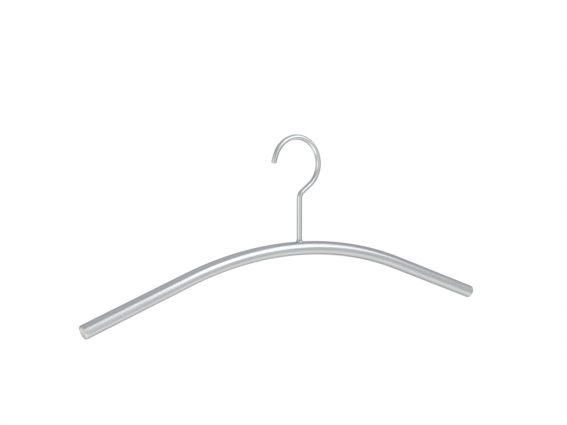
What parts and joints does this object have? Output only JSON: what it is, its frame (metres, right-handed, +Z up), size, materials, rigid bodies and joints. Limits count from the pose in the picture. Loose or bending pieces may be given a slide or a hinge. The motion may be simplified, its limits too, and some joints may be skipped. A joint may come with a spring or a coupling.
{
  "type": "metal clothes hanger",
  "caption": "Arched round-tube metal clothes hanger with a swivelling round-wire hook and a plastic plug in each end of the tube.",
  "frame": {"origin": "on the hook's swivel axis, at the point of the loop's inside that bears on the rail", "axes": "+Z up along the hook's shank, X along the arms with the hook's mouth towards -X, Y square to the plane of the hanger at rest"},
  "size_m": [0.445, 0.013, 0.1722],
  "materials": {
    "satin_aluminium": "satin anodised, fine drawn grain along the tube",
    "satin_steel": "satin plated wire",
    "bush_steel": "turned, satin plated",
    "natural_plastic": "uncoloured moulded plastic, slightly see-through"
  },
  "bodies": {
    "hook": {"hook": "satin_steel"},
    "arm": {"arm_tube": "satin_aluminium", "hook_bush": "bush_steel", "hook_washer": "bush_steel", "end_plug_left": "natural_plastic", "end_plug_right": "natural_plastic"}
  },
  "joints": [
    {"name": "hook_swivel", "type": "hinge", "parent": "hook", "child": "arm", "pos_m": [0, 0, -0.095], "axis": [0, 0, 1], "continuous": true}
  ]
}
